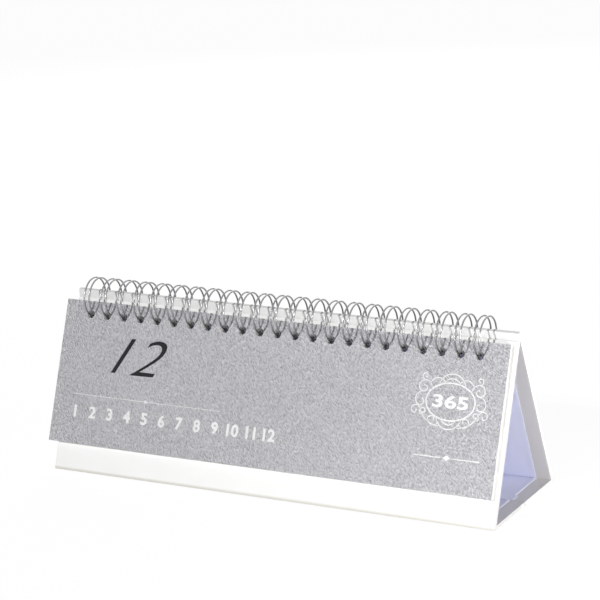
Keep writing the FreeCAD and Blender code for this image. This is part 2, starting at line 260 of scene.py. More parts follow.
def principled(name: str) -> tuple[bpy.types.Material, Graph, bpy.types.Node]:
    """Make a material with one Principled shader.

    Args:
        name: the material's name.

    Returns:
        The material, its graph and the shader node.
    """
    material = bpy.data.materials.new(name)
    material.use_nodes = True
    graph = Graph(material.node_tree)
    shader = graph.add("ShaderNodeBsdfPrincipled")
    graph.add("ShaderNodeOutputMaterial", None, {"Surface": shader.outputs[0]})
    return material, graph, shader


def connect(graph: Graph, shader: bpy.types.Node, **inputs: object) -> None:
    """Set or link inputs of a shader; an underscore in a name stands for a space."""
    for name, value in inputs.items():
        plain = (*value, 1.0) if isinstance(value, tuple) else value
        graph.put(shader.inputs[name.replace("_", " ")], plain)


# Finishes


@dataclass(frozen=True)
class EmbossedCard:
    """Grey card pressed with an irregular grain of short slanting ridges, plain or printed with an ink."""

    lean: float
    colour: Colour = (0.865, 0.861, 0.9)
    # The hollow colour is painted shade in the grain's low places.
    hollow: Colour = (0.555, 0.552, 0.583)
    ridge_cells: float = 1000.0
    ridge_slant: float = -35.0
    ridge_stretch: float = 2.0
    fine_cells: float = 1500.0
    fine_share: float = 0.12
    cloud_cells: float = 22.0
    cloud_share: float = 0.25
    dark_level: float = 0.3
    contrast: float = 2.6
    relief: float = 0.0046
    ink_relief: float = 0.35
    show_through: float = 0.015

    def grain(self, graph: Graph) -> Signal:
        """Height of the pressed grain: long ridges with finer fibres on them."""
        slanted = graph.leaning_coordinates(self.lean, self.ridge_slant, self.ridge_stretch)
        ridges = graph.noise(slanted, self.ridge_cells, 2.0, 0.5, 0.25)
        fibres = graph.noise(slanted, self.fine_cells, 1.0, 0.5)
        return ridges * (1 - self.fine_share) + fibres * self.fine_share

    def build(self) -> bpy.types.Material:
        """Make the plain card's material."""
        material, graph, shader = principled("embossed_grey_card")
        grain = self.grain(graph)
        cloud = graph.noise(graph.object_coordinates(), self.cloud_cells, 2.0, 0.5)
        # Darker towards the hollow colour in the grain's low places, painted shade of the relief; the slow
        # cloud varies the tone at random.
        tone = (grain - self.dark_level) * self.contrast + (cloud - 0.5) * self.cloud_share
        colour = graph.mix(tone, self.hollow, self.colour)
        connect(graph, shader, Base_Color=colour, Roughness=0.62 + grain * 0.2)
        connect(graph, shader, Normal=graph.bump(grain, self.relief), Specular_IOR_Level=0.35)
        return material

    def build_ink(self, name: str, ink: Colour, gloss: float) -> bpy.types.Material:
        """Make an ink's material that keeps the card's grain.

        Args:
            name: the material's name.
            ink: the ink's colour.
            gloss: roughness of the ink's skin.

        Returns:
            The material.
        """
        material, graph, shader = principled(name)
        grain = self.grain(graph)
        share = self.show_through
        thin = tuple((1 - share) * c + share * p for c, p in zip(ink, self.colour))
        connect(graph, shader, Base_Color=graph.mix(grain, thin, ink), Roughness=gloss + grain * 0.1)
        normal = graph.bump(grain, self.relief * self.ink_relief)
        connect(graph, shader, Normal=normal, Specular_IOR_Level=0.25)
        return material


@dataclass(frozen=True)
class Fade:
    """Painted shade: a tone that takes over a sheet's colour between two distances from the middle, along one
    axis.
    """

    axis: int
    start: float
    end: float
    tone: Colour

    def over(self, graph: Graph, colour: object) -> bpy.types.NodeSocket:
        """Lay the painted shade's tone over a colour."""
        distance = abs(graph.axes()[self.axis]) - self.start * MM
        share = graph.clamp(distance * (1 / (self.end - self.start) / MM))
        return graph.mix(share, colour, self.tone)


@dataclass(frozen=True)
class TurnIn:
    """Tint of painted shade on the strips of wrap that are turned in round the ends of the boards."""

    slope: Slope
    # The tint is painted shade: the turned-in paper is the same white wrap as outside.
    tint: Colour
    deep: float = 1.95
    end: float = 157.5
    front: float = 5.0
    end_share: float = 0.95

    def over(self, graph: Graph, colour: object) -> bpy.types.NodeSocket:
        """Lay the painted shade over the strips inside the tent, and most of it over the front board's end
        faces.
        """
        across, back, up = graph.axes()
        lean = math.radians(self.slope.lean)
        fall = (self.slope.ridge * MM - up) * math.sin(lean)
        depth = (fall - abs(back) * math.cos(lean)).least(up)
        at_end = abs(across).above(self.end * MM)
        # Painted shade: the turned-in strips inside the tent are greyed.
        strips = depth.above(self.deep * MM) * (1 - at_end)
        # Painted shade: the front board's end faces are greyed.
        shaded_end_faces = at_end * (0 - back).above(self.front * MM) * self.end_share
        return graph.mix(strips + shaded_end_faces, colour, self.tint)


@dataclass(frozen=True)
class Paper:
    """Paper or paper-covered board with fibres and a faint unevenness."""

    name: str
    colour: Colour
    shade: Colour
    roughness: float
    fibre_cells: float = 1400.0
    fibre_depth: float = 0.00003
    wave_cells: float = 55.0
    wave_depth: float = 0.0002
    # Tones of painted shade laid over the paper's colour.
    overlays: tuple[TurnIn | Fade, ...] = ()

    def build(self) -> bpy.types.Material:
        """Make the material: fibres tint and roughen the sheet, and slow waves tilt it a little."""
        material, graph, shader = principled(self.name)
        place = graph.object_coordinates()
        fibres = graph.noise(place, self.fibre_cells, 3.0, 0.6)
        waves = graph.noise(place, self.wave_cells, 1.0, 0.4)
        tint = (fibres - 0.5) * 0.9 + (waves - 0.5) * 0.6 + 0.35
        colour = graph.mix(tint, self.colour, self.shade)
        # Painted shade laid over the paper's colour.
        for painted_shade_overlay in self.overlays:
            colour = painted_shade_overlay.over(graph, colour)
        connect(graph, shader, Base_Color=colour)
        relief = fibres * self.fibre_depth + waves * self.wave_depth
        connect(graph, shader, Normal=graph.bump(relief, 1.0), Roughness=self.roughness + fibres * 0.12)
        return material


@dataclass(frozen=True)
class PageInk:
    """Offset ink on the inner leaves."""

    name: str
    colour: Colour
    speckle: Colour

    def build(self) -> bpy.types.Material:
        """Make the ink's material: the paper's fibres break it up a little."""
        material, graph, shader = principled(self.name)
        fibres = graph.noise(graph.object_coordinates(), 2600.0, 2.0, 0.5)
        connect(graph, shader, Base_Color=graph.mix(fibres, self.colour, self.speckle), Roughness=0.55)
        return material


@dataclass(frozen=True)
class Greyboard:
    """Core of the boards: recycled board with dark and pale flecks."""

    colour: Colour = (0.42, 0.4, 0.37)
    fleck: Colour = (0.58, 0.56, 0.52)

    def build(self) -> bpy.types.Material:
        """Make the material."""
        material, graph, shader = principled("recycled_greyboard")
        place = graph.object_coordinates()
        flecks = graph.noise(place, 900.0, 4.0, 0.7)
        connect(graph, shader, Base_Color=graph.mix(flecks, self.colour, self.fleck), Roughness=0.9)
        connect(graph, shader, Normal=graph.bump(flecks, 0.0001))
        return material


@dataclass(frozen=True)
class WireMetal:
    """Silver-coated steel wire, drawn and slightly satin."""

    colour: Colour = (0.38, 0.38, 0.39)
    dull: Colour = (0.25, 0.25, 0.26)

    def build(self) -> bpy.types.Material:
        """Make the material: patches of the coat are duller than the rest."""
        material, graph, shader = principled("silver_wire")
        place = graph.object_coordinates()
        patches = graph.noise(place, 260.0, 3.0, 0.6)
        scratches = graph.noise(place, 4200.0, 2.0, 0.6)
        connect(graph, shader, Base_Color=graph.mix(patches, self.colour, self.dull), Metallic=1.0)
        connect(graph, shader, Roughness=0.16 + patches * 0.16, Normal=graph.bump(scratches, 0.00002))
        return material


# Geometry


@dataclass(frozen=True)
class Slope:
    """Front face of the stand: the plane that the pad lies on, and its own three directions."""

    base_depth: float = 91.5
    lean: float = 22.1

    @property
    def ridge(self) -> float:
        """Height of the line where the two slopes would meet."""
        return self.base_depth / 2 / math.tan(math.radians(self.lean))

    def place(self, across: np.ndarray, drop: np.ndarray, out: np.ndarray) -> np.ndarray:
        """Turn slope coordinates into the row frame.

        A point starts on the ridge, goes down the slope by its drop and stands off the face by out.

        Args:
            across: places along X, in mm.
            drop: distances down the slope from the ridge, in mm.
            out: distances off the face, in mm.

        Returns:
            Points in metres, with the arrays' common shape and a last axis of three.
        """
        across, drop, out = np.broadcast_arrays(across, drop, out)
        sine = math.sin(math.radians(self.lean))
        cosine = math.cos(math.radians(self.lean))
        y = -drop * sine - out * cosine
        z = self.ridge - drop * cosine + out * sine
        return np.stack([across, y, z], axis=-1) * MM


@dataclass(frozen=True)
class Pad:
    """Place and size of the pad that hangs on the front slope."""

    width: float = 318.0
    height: float = 94.0
    shift: float = -4.4
    drop: float = 9.45
    hole_drop: float = 18.28
    hole_diameter: float = 5.3
    pitch: float = 12.7
    count: int = 23
    stack: float = 3.0
    cover: float = 0.5

    @property
    def hole_places(self) -> np.ndarray:
        """Places of the holes along X, in mm."""
        return self.shift + (np.arange(self.count) - (self.count - 1) / 2) * self.pitch


def grid_quads(rows: int, columns: int, wrap: bool = False) -> np.ndarray:
    """Corners of the faces of a grid whose points are stored row by row.

    Args:
        rows: number of rows of points.
        columns: number of points in a row.
        wrap: whether the last point of a row joins the first.

    Returns:
        One row of four point numbers for each face.
    """
    i = np.arange(rows - 1)[:, None]
    j = np.arange(columns if wrap else columns - 1)[None, :]
    k = (j + 1) % columns
    corners = (i * columns + j, i * columns + k, (i + 1) * columns + k, (i + 1) * columns + j)
    return np.stack(np.broadcast_arrays(*corners), axis=-1).reshape(-1, 4)


def make_piece(name: str, points: np.ndarray, faces: np.ndarray | list, material: bpy.types.Material,
               smooth: bool = True) -> bpy.types.Object:
    """Make an object from arrays.

    Args:
        name: the object's name.
        points: points in metres, three numbers each.
        faces: point numbers, three or four for each face.
        material: the object's one material.
        smooth: whether the faces are shaded smooth.

    Returns:
        The new object, at the origin and linked to the scene.
    """
    mesh = bpy.data.meshes.new(name)
    mesh.from_pydata(points.reshape(-1, 3).tolist(), [], list(faces))
    mesh.materials.append(material)
    mesh.polygons.foreach_set("use_smooth", np.full(len(mesh.polygons), smooth))
    mesh.validate()
    mesh.update()
    piece = bpy.data.objects.new(name, mesh)
    bpy.context.scene.collection.objects.link(piece)
    return piece


def merge_points(piece: bpy.types.Object, distance: float) -> None:
    """Merge points of a piece's mesh that lie within a distance in metres."""
    work = bmesh.new()
    work.from_mesh(piece.data)
    bmesh.ops.remove_doubles(work, verts=work.verts, dist=distance)
    bmesh.ops.recalc_face_normals(work, faces=work.faces)
    work.to_mesh(piece.data)
    work.free()


def hand_over(piece: bpy.types.Object, body: Body, slot: Slot, *nodes: str) -> None:
    """Let a finished piece ride on a body and hide the CAD nodes that it stands for."""
    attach(piece, body.value)
    if nodes:
        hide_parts(*nodes)
    LOG.info("%s rides on %s, %d faces", piece.name, body.value, len(piece.data.polygons))


# The binding


@dataclass
class TwinLoopBinding:
    """One wire bent into pairs of loops, with the spine between them, rolled on a common cylinder."""

    slope: Slope
    pad: Pad
    loop_radius: float = 12.7
    loop_width: float = 3.7
    wire_diameter: float = 1.1
    bend_radius: float = 1.2
    forward: float = 1.3
    fall: float = 5.87
    spine_angle: float = -79.5
    tip_angle: float = 260.0
    stub: float = 2.0
    leg_steps: int = 56
    turn_steps: int = 8
    sides: int = 10

    def unrolled_loop(self) -> np.ndarray:
        """Route of one loop on the unrolled cylinder, as (across, along the roll) in mm.

        A quarter bend leaves the spine, a straight leg climbs to the tip, a half circle turns round, and the
        second leg and bend mirror the first.
        """
        half = self.loop_width / 2
        bend = self.bend_radius
        start = math.radians(self.spine_angle) * self.loop_radius
        end = math.radians(self.tip_angle) * self.loop_radius
        turn = np.linspace(-math.pi / 2, 0, self.turn_steps)
        bend_in = np.stack([-half - bend + bend * np.cos(turn), start + bend * np.sin(turn)], axis=-1)
        climb = np.linspace(start, end, self.leg_steps)[1:-1]
        leg = np.stack([np.full_like(climb, -half), climb], axis=-1)
        turn = np.linspace(math.pi, math.pi / 2, self.turn_steps)
        tip = np.stack([half * np.cos(turn), end + half * np.sin(turn)], axis=-1)
        side = np.concatenate([bend_in, leg, tip])
        return np.concatenate([side, (side * (-1, 1))[-2::-1]])

    def route(self) -> tuple[np.ndarray, np.ndarray]:
        """Roll the whole wire up.

        Returns:
            Points on the wire's centre line in mm, and the direction away from the cylinder's axis at each.
        """
        loop = self.unrolled_loop()
        places = self.pad.hole_places[:, None, None] * (1, 0)
        flat = (loop[None] + places).reshape(-1, 2)
        flat = np.concatenate([flat[:1] - (self.stub, 0), flat, flat[-1:] + (self.stub, 0)])
        angle = flat[:, 1] / self.loop_radius
        away = np.stack([np.zeros_like(angle), np.cos(angle), np.sin(angle)], axis=-1)
        middle = np.array([0.0, -self.forward, self.slope.ridge - self.fall])
        along = np.stack([flat[:, 0], np.zeros_like(angle), np.zeros_like(angle)], axis=-1)
        return middle + along + away * self.loop_radius, away

    def build(self, metal: bpy.types.Material) -> None:
        """Sweep a round section along the route.

        The section lies in the plane of the outward direction and its cross product with the wire's own
        direction, so it never twists; a flat fan closes each cut end.
        """
        centre, away = self.route()
        way = np.gradient(centre, axis=0)
        way /= np.linalg.norm(way, axis=1, keepdims=True)
        beside = np.cross(way, away)
        beside /= np.linalg.norm(beside, axis=1, keepdims=True)
        turn = np.linspace(0, 2 * math.pi, self.sides, endpoint=False)
        ring = away[:, None] * np.cos(turn)[:, None] + beside[:, None] * np.sin(turn)[:, None]
        skin = centre[:, None] + ring * self.wire_diameter / 2
        points = np.concatenate([skin.reshape(-1, 3), centre[:1], centre[-1:]]) * MM
        faces = grid_quads(len(centre), self.sides, wrap=True)
        last = len(points) - 1
        first = np.arange(self.sides)
        after = (first + 1) % self.sides
        far = (len(centre) - 1) * self.sides
        near_cap = np.stack([after, first, np.full_like(first, last - 1)], axis=-1)
        far_cap = np.stack([far + first, far + after, np.full_like(first, last)], axis=-1)
        skin_and_caps = faces.tolist() + near_cap.tolist() + far_cap.tolist()
        wire = make_piece("twin_loop_wire", points, skin_and_caps, metal)
        hand_over(wire, Body.STAND, Slot.WIRE, "binding_wire")


# Leaves


@dataclass
class PunchedSheet:
    """A sheet with a row of round holes, as a flat net of four-sided faces."""

    pad: Pad
    side_steps: int
    ring_steps: int
    field_rows: int

    def _across(self) -> np.ndarray:
        """Places along X of the net's columns: the cells of the holes, and one margin at each end."""
        pad = self.pad
        left = pad.hole_places[0] - pad.pitch / 2
        right = pad.hole_places[-1] + pad.pitch / 2
        cells = np.linspace(left, right, pad.count * self.side_steps + 1)
        edge_left = pad.shift - pad.width / 2
        edge_right = pad.shift + pad.width / 2
        margin = max(2, self.side_steps)
        return np.concatenate([
            np.linspace(edge_left, left, margin, endpoint=False),
            cells,
            np.linspace(right, edge_right, margin + 1)[1:],
        ])

    def net(self) -> tuple[np.ndarray, np.ndarray]:
        """Work out the net.

        The sheet is a grid. Round each hole a square cell of the grid is left out, and rings of points go
        from the cell's border to the hole: each ring is a blend of the square and the circle.

        Returns:
            Points as (across, drop) in mm, and the faces.
        """
        pad = self.pad
        across = self._across()
        half = pad.pitch / 2
        top, low = pad.hole_drop - half, pad.hole_drop + half
        down = np.concatenate([
            np.array([pad.drop]),
            np.linspace(top, low, self.side_steps + 1),
            np.linspace(low, pad.drop + pad.height, self.field_rows + 1)[1:],
        ])
        points = np.stack(np.meshgrid(across, down), axis=-1).reshape(-1, 2)
        faces = grid_quads(len(down), len(across))
        middles = points[faces].mean(axis=1)
        first, last = pad.hole_places[0] - half, pad.hole_places[-1] + half
        in_columns = (middles[:, 0] > first) & (middles[:, 0] < last)
        in_rows = (middles[:, 1] > top) & (middles[:, 1] < low)
        faces = faces[~(in_columns & in_rows)]
        step = np.arange(self.side_steps) / self.side_steps * 2 - 1
        one = np.ones(self.side_steps)
        border = np.concatenate([
            np.stack([step, -one], axis=-1),
            np.stack([one, step], axis=-1),
            np.stack([-step, one], axis=-1),
            np.stack([-one, -step], axis=-1),
        ])
        circle = border / np.linalg.norm(border, axis=1, keepdims=True) * pad.hole_diameter / 2
        share = np.linspace(0, 1, self.ring_steps + 1)[:, None, None]
        cell = border * half * (1 - share) + circle * share
        middle = np.stack([pad.hole_places, np.full(pad.count, pad.hole_drop)], axis=-1)
        rings = middle[:, None, None] + cell[None]
        ring_faces = grid_quads(self.ring_steps + 1, len(border), wrap=True)
        offsets = len(points) + np.arange(pad.count)[:, None, None] * cell.shape[0] * cell.shape[1]
        ring_faces = (ring_faces[None] + offsets).reshape(-1, 4)
        return np.concatenate([points, rings.reshape(-1, 2)]), np.concatenate([faces, ring_faces])


@dataclass
class LeafStack:
    """The calendar leaves under the cover, as separate sheets that lie a little unevenly."""

    slope: Slope
    pad: Pad
    leaves: int = 13
    thickness: float = 0.2
    jitter: float = 0.12
    print_room: float = 0.06
    seed: int = 5

    def build(self, paper: bpy.types.Material) -> None:
        """Build every leaf as one net at its own height, and give them their thickness with Solidify."""
        draw = np.random.default_rng(self.seed)
        flat, faces = PunchedSheet(self.pad, side_steps=4, ring_steps=1, field_rows=4).net()
        shifts = draw.uniform(-self.jitter, self.jitter, (self.leaves, 2))
        shifts[:, 1] = np.abs(shifts[:, 1]) * -1
        pitch = (self.pad.stack - self.print_room - self.thickness) / (self.leaves - 1)
        heights = np.arange(self.leaves) * pitch + self.thickness / 2
        slack = 1 - 2 * self.jitter / self.pad.width
        across = (flat[None, :, 0] - self.pad.shift) * slack + self.pad.shift + shifts[:, :1]
        drop = flat[None, :, 1] + shifts[:, 1:]
        points = self.slope.place(across, drop, heights[:, None])
        numbers = (faces[None] + np.arange(self.leaves)[:, None, None] * len(flat)).reshape(-1, 4)
        stack = make_piece("calendar_leaves", points, numbers, paper, smooth=False)
        merge_points(stack, 0.00001)
        solid = stack.modifiers.new("thickness", "SOLIDIFY")
        solid.thickness = self.thickness * MM
        solid.offset = 0.0
        hand_over(stack, Body.STAND, Slot.LEAVES, "page_block")


# Print


@dataclass
class Scroll:
    """A printed line that follows part of an ellipse, whose size may shrink on the way into a spiral."""

    middle: Spot
    reach: Spot
    turns: Spot
    shrink: float = 1.0
    width: float = 0.55

    def line(self, steps: int) -> np.ndarray:
        """Points of the line: the angle goes evenly from the first turn to the last, in degrees."""
        share = np.linspace(0, 1, steps)
        angle = np.radians(self.turns[0] + (self.turns[1] - self.turns[0]) * share)
        size = 1 + (self.shrink - 1) * share
        return np.stack([
            self.middle[0] + self.reach[0] * size * np.cos(angle),
            self.middle[1] + self.reach[1] * size * np.sin(angle),
        ], axis=-1)

    def mirrored(self) -> Scroll:
        """The same line on the other side of the ornament."""
        turns = (180.0 - self.turns[0], 180.0 - self.turns[1])
        return Scroll((-self.middle[0], self.middle[1]), self.reach, turns, self.shrink, self.width)


@dataclass
class Plate:
    """Collects the flat shapes of one ink, and makes one thin mesh of them on the slope."""

    slope: Slope
    level: float
    thickness: float = 0.03
    points: list = field(default_factory=list)
    faces: list = field(default_factory=list)
    count: int = 0

    def _keep(self, points: np.ndarray, faces: list) -> None:
        """Add points as (across, drop, out) and faces that number them from 0."""
        self.points.append(points)
        self.faces += [[n + self.count for n in face] for face in faces]
        self.count += len(points)

    def ribbon(self, line: np.ndarray, width: np.ndarray, closed: bool) -> None:
        """Add a ribbon along a line.

        Each point of the line gets four corners: half a width to each side of it, at the ink's two levels.

        Args:
            line: points as (across, drop) in mm.
            width: the ribbon's width at each point.
            closed: whether the line's ends join.
        """
        ends = np.roll(line, -1, axis=0) - np.roll(line, 1, axis=0)
        way = ends if closed else np.gradient(line, axis=0)
        way = way / np.linalg.norm(way, axis=1, keepdims=True)
        side = np.stack([-way[:, 1], way[:, 0]], axis=-1) * width[:, None] / 2
        rims = np.stack([line + side, line - side, line - side, line + side], axis=1)
        levels = self.level + np.array([0.0, 0.0, 1.0, 1.0]) * self.thickness
        levels = np.broadcast_to(levels, rims.shape[:2])[..., None]
        corners = np.concatenate([rims, levels], axis=-1)
        rows = len(line)
        faces = grid_quads(rows, 4, wrap=True).tolist()
        last = (rows - 1) * 4
        if closed:
            faces += [[last + i, last + (i + 1) % 4, (i + 1) % 4, i] for i in range(4)]
        else:
            faces += [[3, 2, 1, 0], [last, last + 1, last + 2, last + 3]]
        self._keep(corners.reshape(-1, 3), faces)

    def bar(self, start: Spot, end: Spot, width: float) -> None:
        """Add a straight printed rule."""
        self.ribbon(np.array([start, end]), np.array([width, width]), closed=False)

    def diamond(self, middle: Spot, width: float, height: float) -> None:
        """Add a diamond: a ribbon that widens to its middle and closes again."""
        x, y = middle
        line = np.array([[x - width / 2, y], [x, y], [x + width / 2, y]])
        self.ribbon(line, np.array([0.02, height, 0.02]), closed=False)

    def numerals(self, text: str, middle: Spot, height: float, width: float | None = None,
                 weight: float = 0.0, slant: float = 0.0) -> None:
        """Add figures in Blender's own face.

        Args:
            text: the figures.
            middle: where their middle lies, as (across, drop) in mm.
            height: height of a figure in mm.
            width: width of them all in mm, or None to keep the face's proportions.
            weight: how much bolder each stroke is, as a share of the figure size.
            slant: lean of the figures, as sideways shift for each unit of height.
        """
        curve = bpy.data.curves.new("figures", "FONT")
        curve.body = text
        curve.offset = weight
        curve.extrude = 0.5
        curve.resolution_u = 5
        holder = bpy.data.objects.new("figures", curve)
        bpy.context.scene.collection.objects.link(holder)
        bpy.context.view_layer.update()
        mesh = bpy.data.meshes.new_from_object(holder.evaluated_get(bpy.context.evaluated_depsgraph_get()))
        spots = np.zeros(len(mesh.vertices) * 3)
        mesh.vertices.foreach_get("co", spots)
        spots = spots.reshape(-1, 3)
        faces = [list(face.vertices) for face in mesh.polygons]
        bpy.data.objects.remove(holder)
        bpy.data.curves.remove(curve)
        bpy.data.meshes.remove(mesh)
        spots[:, 0] += slant * spots[:, 1]
        low, high = spots[:, :2].min(axis=0), spots[:, :2].max(axis=0)
        spots[:, :2] -= (low + high) / 2
        tall = height / (high[1] - low[1])
        wide = tall if width is None else width / (high[0] - low[0])
        placed = np.stack([
            middle[0] + spots[:, 0] * wide,
            middle[1] - spots[:, 1] * tall,
            self.level + (spots[:, 2] + 0.5) * self.thickness,
        ], axis=-1)
        self._keep(placed, faces)

    def build(self, name: str, ink: bpy.types.Material, body: Body, slot: Slot) -> None:
        """Make the collected shapes one piece."""
        spots = np.concatenate(self.points)
        points = self.slope.place(spots[:, 0], spots[:, 1], spots[:, 2])
        piece = make_piece(name, points, self.faces, ink, smooth=False)
        merge_points(piece, 0.000001)
        hand_over(piece, body, slot)


@dataclass
class CoverPrint:
    """What is printed on the cover: an oval scroll frame round a figure, more figures and fine rules."""

    slope: Slope
    pad: Pad
    lift: float = 0.03
    frame_middle: Spot = (120.0, 47.9)
    frame_reach: Spot = (16.3, 11.4)
    ring_width: float = 0.95
    dot_radius: float = 0.32
    dot_width: float = 0.5
    line_steps: int = 60
    months: int = 12
    month_start: Spot = (-146.0, 82.0)
    month_step: float = 13.2
    long_rule: Spot = (-149.0, -38.0)
    long_drop: float = 71.0
    short_rules: tuple[Spot, Spot] = ((100.0, 118.0), (126.0, 144.0))
    short_drop: float = 82.0
    large_middle: Spot = (-103.0, 43.0)

    @property
    def level(self) -> float:
        """Height of the ink's underside off the slope."""
        return self.pad.stack + self.pad.cover + self.lift

    def scrolls(self) -> list[Scroll]:
        """Lines of the scroll frame, in mm from its middle with up positive."""
        middle = [
            Scroll((0.0, 9.4), (8.6, 7.6), (8.0, 172.0)),
            Scroll((0.0, 9.6), (5.4, 4.6), (18.0, 162.0)),
            Scroll((0.0, -8.6), (8.4, 8.2), (-168.0, -12.0)),
            Scroll((0.0, -9.0), (5.2, 5.0), (-160.0, -20.0)),
        ]
        side = [
            Scroll((9.4, 8.6), (5.2, 5.4), (150.0, 5.0)),
            Scroll((18.4, 7.6), (5.2, 5.2), (190.0, -260.0), 0.22),
            Scroll((18.2, 14.4), (2.5, 2.4), (-100.0, 250.0), 0.3),
            Scroll((19.6, -0.6), (4.9, 5.4), (100.0, -230.0), 0.24),
            Scroll((23.0, -7.0), (3.7, 3.9), (185.0, -170.0), 0.25),
            Scroll((5.2, -1.6), (15.0, 13.8), (-22.0, -86.0)),
            Scroll((10.8, -11.4), (4.4, 4.0), (-150.0, 190.0), 0.25),
            Scroll((17.4, -7.2), (2.7, 2.7), (-70.0, 280.0), 0.3),
        ]
        return middle + side + [scroll.mirrored() for scroll in side]

    def _frame(self, plate: Plate) -> None:
        """Add the oval ring and its scrolls."""
        turn = np.linspace(0, 2 * math.pi, 96, endpoint=False)
        middle = np.array(self.frame_middle)
        ring = middle + np.stack([np.cos(turn), np.sin(turn)], axis=-1) * self.frame_reach
        plate.ribbon(ring, np.full(len(ring), self.ring_width), closed=True)
        for scroll in self.scrolls():
            line = middle + scroll.line(self.line_steps) * (1, -1)
            swell = scroll.width * (0.75 + 0.5 * np.sin(np.linspace(0, math.pi, self.line_steps)))
            plate.ribbon(line, swell, closed=False)
            if scroll.shrink < 1:
                round_tip = np.stack([np.cos(turn[::8]), np.sin(turn[::8])], axis=-1)
                dot = line[-1] + round_tip * self.dot_radius
                plate.ribbon(dot, np.full(len(dot), self.dot_width), closed=True)

    def build(self, white: bpy.types.Material, black: bpy.types.Material) -> None:
        """Print the cover."""
        plate = Plate(self.slope, self.level)
        self._frame(plate)
        plate.numerals("365", self.frame_middle, height=8.2, width=24.0, weight=0.03)
        left, drop = self.month_start
        for number in range(self.months):
            across = left + number * self.month_step
            plate.numerals(str(number + 1), (across, drop), height=8.0, weight=0.035)
        left, right = self.long_rule
        plate.bar((left, self.long_drop), (right, self.long_drop), width=0.35)
        plate.diamond(((left + right) / 2, self.long_drop), width=5.0, height=2.4)
        for left, right in self.short_rules:
            plate.bar((left, self.short_drop), (right, self.short_drop), width=0.7)
        plate.diamond((np.mean(self.short_rules), self.short_drop), width=5.4, height=3.6)
        plate.build("cover_white_print", white, Body.COVER, Slot.COVER)
        dark = Plate(self.slope, self.level)
        dark.numerals("12", self.large_middle, height=24.0, width=40.0, weight=-0.012, slant=0.45)
        dark.build("cover_black_print", black, Body.COVER, Slot.COVER)


@dataclass
class PagePrint:
    """What is printed on the top leaf: a month's number, a small table of days and two rows of day boxes."""

    slope: Slope
    pad: Pad
    sink: float = 0.05
    days: int = 31
    week: int = 7
    boxes_in_row: int = 16
    box_left: float = -98.5
    box_width: float = 15.07
    box_height: float = 30.9
    box_head: float = 5.6
    box_tops: Spot = (29.9, 68.8)
    table_left: float = -155.0
    table_top: float = 75.5
    table_step: Spot = (7.9, 5.4)
    table_blanks: int = 3
    rest_days: tuple[int, int] = (3, 4)
    month_middle: Spot = (-147.5, 35.0)
    rule_ends: Spot = (-157.7, -106.0)
    rule_drops: Spot = (54.5, 61.5)

    def _is_rest_day(self, day: int) -> bool:
        """Whether a day is one of the two in each week that are printed in the second ink."""
        return (day - self.rest_days[0]) % self.week < len(self.rest_days)

    def _boxes(self, plate: Plate) -> None:
        """Add the day boxes' rules."""
        right = self.box_left + self.boxes_in_row * self.box_width
        for top in self.box_tops:
            low = top + self.box_height
            for drop in (top, top + self.box_head, low):
                plate.bar((self.box_left, drop), (right, drop), width=0.3)
            for number in range(self.boxes_in_row + 1):
                across = self.box_left + number * self.box_width
                plate.bar((across, top), (across, low), width=0.25)

    def build(self, dark: bpy.types.Material, red: bpy.types.Material) -> None:
        """Print the leaf."""
        level = self.pad.stack - self.sink
        plates = {False: Plate(self.slope, level), True: Plate(self.slope, level)}
        self._boxes(plates[False])
        plates[True].numerals("01", self.month_middle, height=14.5, width=23.0, weight=0.03)
        left, right = self.rule_ends
        for drop in self.rule_drops:
            plates[False].bar((left, drop), (right, drop), width=0.35)
        for day in range(1, self.days + 1):
            plate = plates[self._is_rest_day(day)]
            row, column = divmod(day - 1, self.boxes_in_row)
            across = self.box_left + (column + 0.5) * self.box_width
            drop = self.box_tops[row] + self.box_head / 2
            plate.numerals(str(day), (across, drop), height=3.4, weight=0.02)
            row, column = divmod(day + self.table_blanks, self.week)
            across = self.table_left + column * self.table_step[0]
            plate.numerals(str(day), (across, self.table_top + row * self.table_step[1]), height=2.3)
        plates[False].build("page_dark_print", dark, Body.STAND, Slot.LEAVES)
        plates[True].build("page_red_print", red, Body.STAND, Slot.LEAVES)


# The stand


@dataclass
class Stand:
    """Boards, wrap and lining of the tent, dressed on their CAD nodes."""

    nodes: dict

    def dress(self, node: str, material: bpy.types.Material) -> None:
        """Give a CAD node its one material."""
        slots = self.nodes[node].data.materials
        slots.clear()
        slots.append(material)
        LOG.info("%s dressed with %s", node, material.name)

    def build(self, board: bpy.types.Material, wrap: bpy.types.Material, lining: bpy.types.Material) -> None:
        """Dress the whole stand."""
        for node in ("front_board", "rear_board", "base_front_board", "base_rear_board"):
            self.dress(node, board)
        self.dress("cover_wrap", wrap)
        self.dress("liner", lining)


# The studio


@dataclass(frozen=True)
class Lamp:
    """A round area lamp that the camera doesn't see; places and size are in metres."""

    name: str
    place: Place
    aim: Place
    size: float
    watts: float

    def build(self) -> None:
        """Make the lamp, facing its aim."""
        data = bpy.data.lights.new(self.name, "AREA")
        data.shape = "DISK"
        data.size = self.size
        data.energy = self.watts
        lamp = bpy.data.objects.new(self.name, data)
        lamp.location = self.place
        lamp.rotation_mode = "QUATERNION"
        lamp.rotation_quaternion = (Vector(self.place) - Vector(self.aim)).to_track_quat("Z", "Y")
        lamp.visible_camera = False
        bpy.context.scene.collection.objects.link(lamp)


